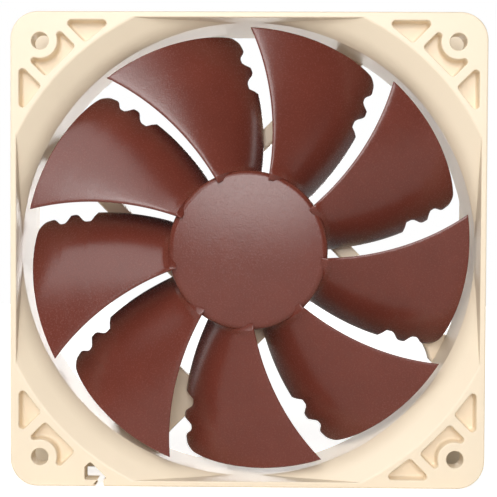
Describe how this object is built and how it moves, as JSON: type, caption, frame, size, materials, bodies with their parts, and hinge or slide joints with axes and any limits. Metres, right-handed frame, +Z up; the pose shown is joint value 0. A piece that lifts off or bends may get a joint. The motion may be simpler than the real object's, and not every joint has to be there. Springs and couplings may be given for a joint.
{
  "type": "case fan",
  "caption": "Square axial case fan: open-cornered beige frame with round duct, curved notched brown blades on a hub turning about the axis.",
  "frame": {"origin": "centre of the lower edge the fan stands on: middle of its width and of its depth, at floor level", "axes": "+Z up, +Y along the fan axis in the direction the air leaves (the intake face looks towards -Y), +X to the right seen from the intake side"},
  "size_m": [0.12, 0.025, 0.12],
  "materials": {
    "frame": "fine-textured beige moulding",
    "impeller": "fine-textured red-brown moulding, satin",
    "bearing_tube": "turned brass",
    "bearing_sleeve": "sintered bronze, oil filled",
    "thrust_pad": "natural nylon",
    "stator_core": "punched silicon steel sheets",
    "insulator": "black moulded insulator",
    "copper_wire": "enamelled copper wire",
    "tinned_pin": "tinned pin",
    "circuit_board": "green solder mask",
    "epoxy": "black epoxy",
    "chip_ceramic": "fired ceramic chip",
    "rear_label": "plain silver-grey film",
    "yoke_steel": "deep-drawn steel",
    "ferrite": "bonded ferrite",
    "shaft_bush": "turned brass",
    "shaft": "ground steel",
    "acetal": "natural acetal"
  },
  "bodies": {
    "frame_body": {"frame": "frame", "bearing_tube": "bearing_tube", "bearing_sleeve": "bearing_sleeve", "thrust_pad": "thrust_pad", "stator_core": "stator_core", "insulator_front": "insulator", "insulator_rear": "insulator", "coil_1": "copper_wire", "coil_2": "copper_wire", "coil_3": "copper_wire", "coil_4": "copper_wire", "terminal_pin_1": "tinned_pin", "terminal_pin_2": "tinned_pin", "terminal_pin_3": "tinned_pin", "terminal_pin_4": "tinned_pin", "circuit_board": "circuit_board", "driver_chip": "epoxy", "hall_sensor": "epoxy", "capacitor": "chip_ceramic", "diode": "epoxy", "resistor_1": "chip_ceramic", "resistor_2": "chip_ceramic", "rear_label": "rear_label"},
    "rotor_body": {"impeller": "impeller", "rotor_yoke": "yoke_steel", "ring_magnet": "ferrite", "shaft_bush": "shaft_bush", "shaft": "shaft", "oil_ring": "acetal", "lock_ring": "acetal"}
  },
  "joints": [
    {"name": "rotor_spin", "type": "hinge", "parent": "frame_body", "child": "rotor_body", "pos_m": [0, 0, 0.06], "axis": [0, -1, 0], "continuous": true}
  ]
}
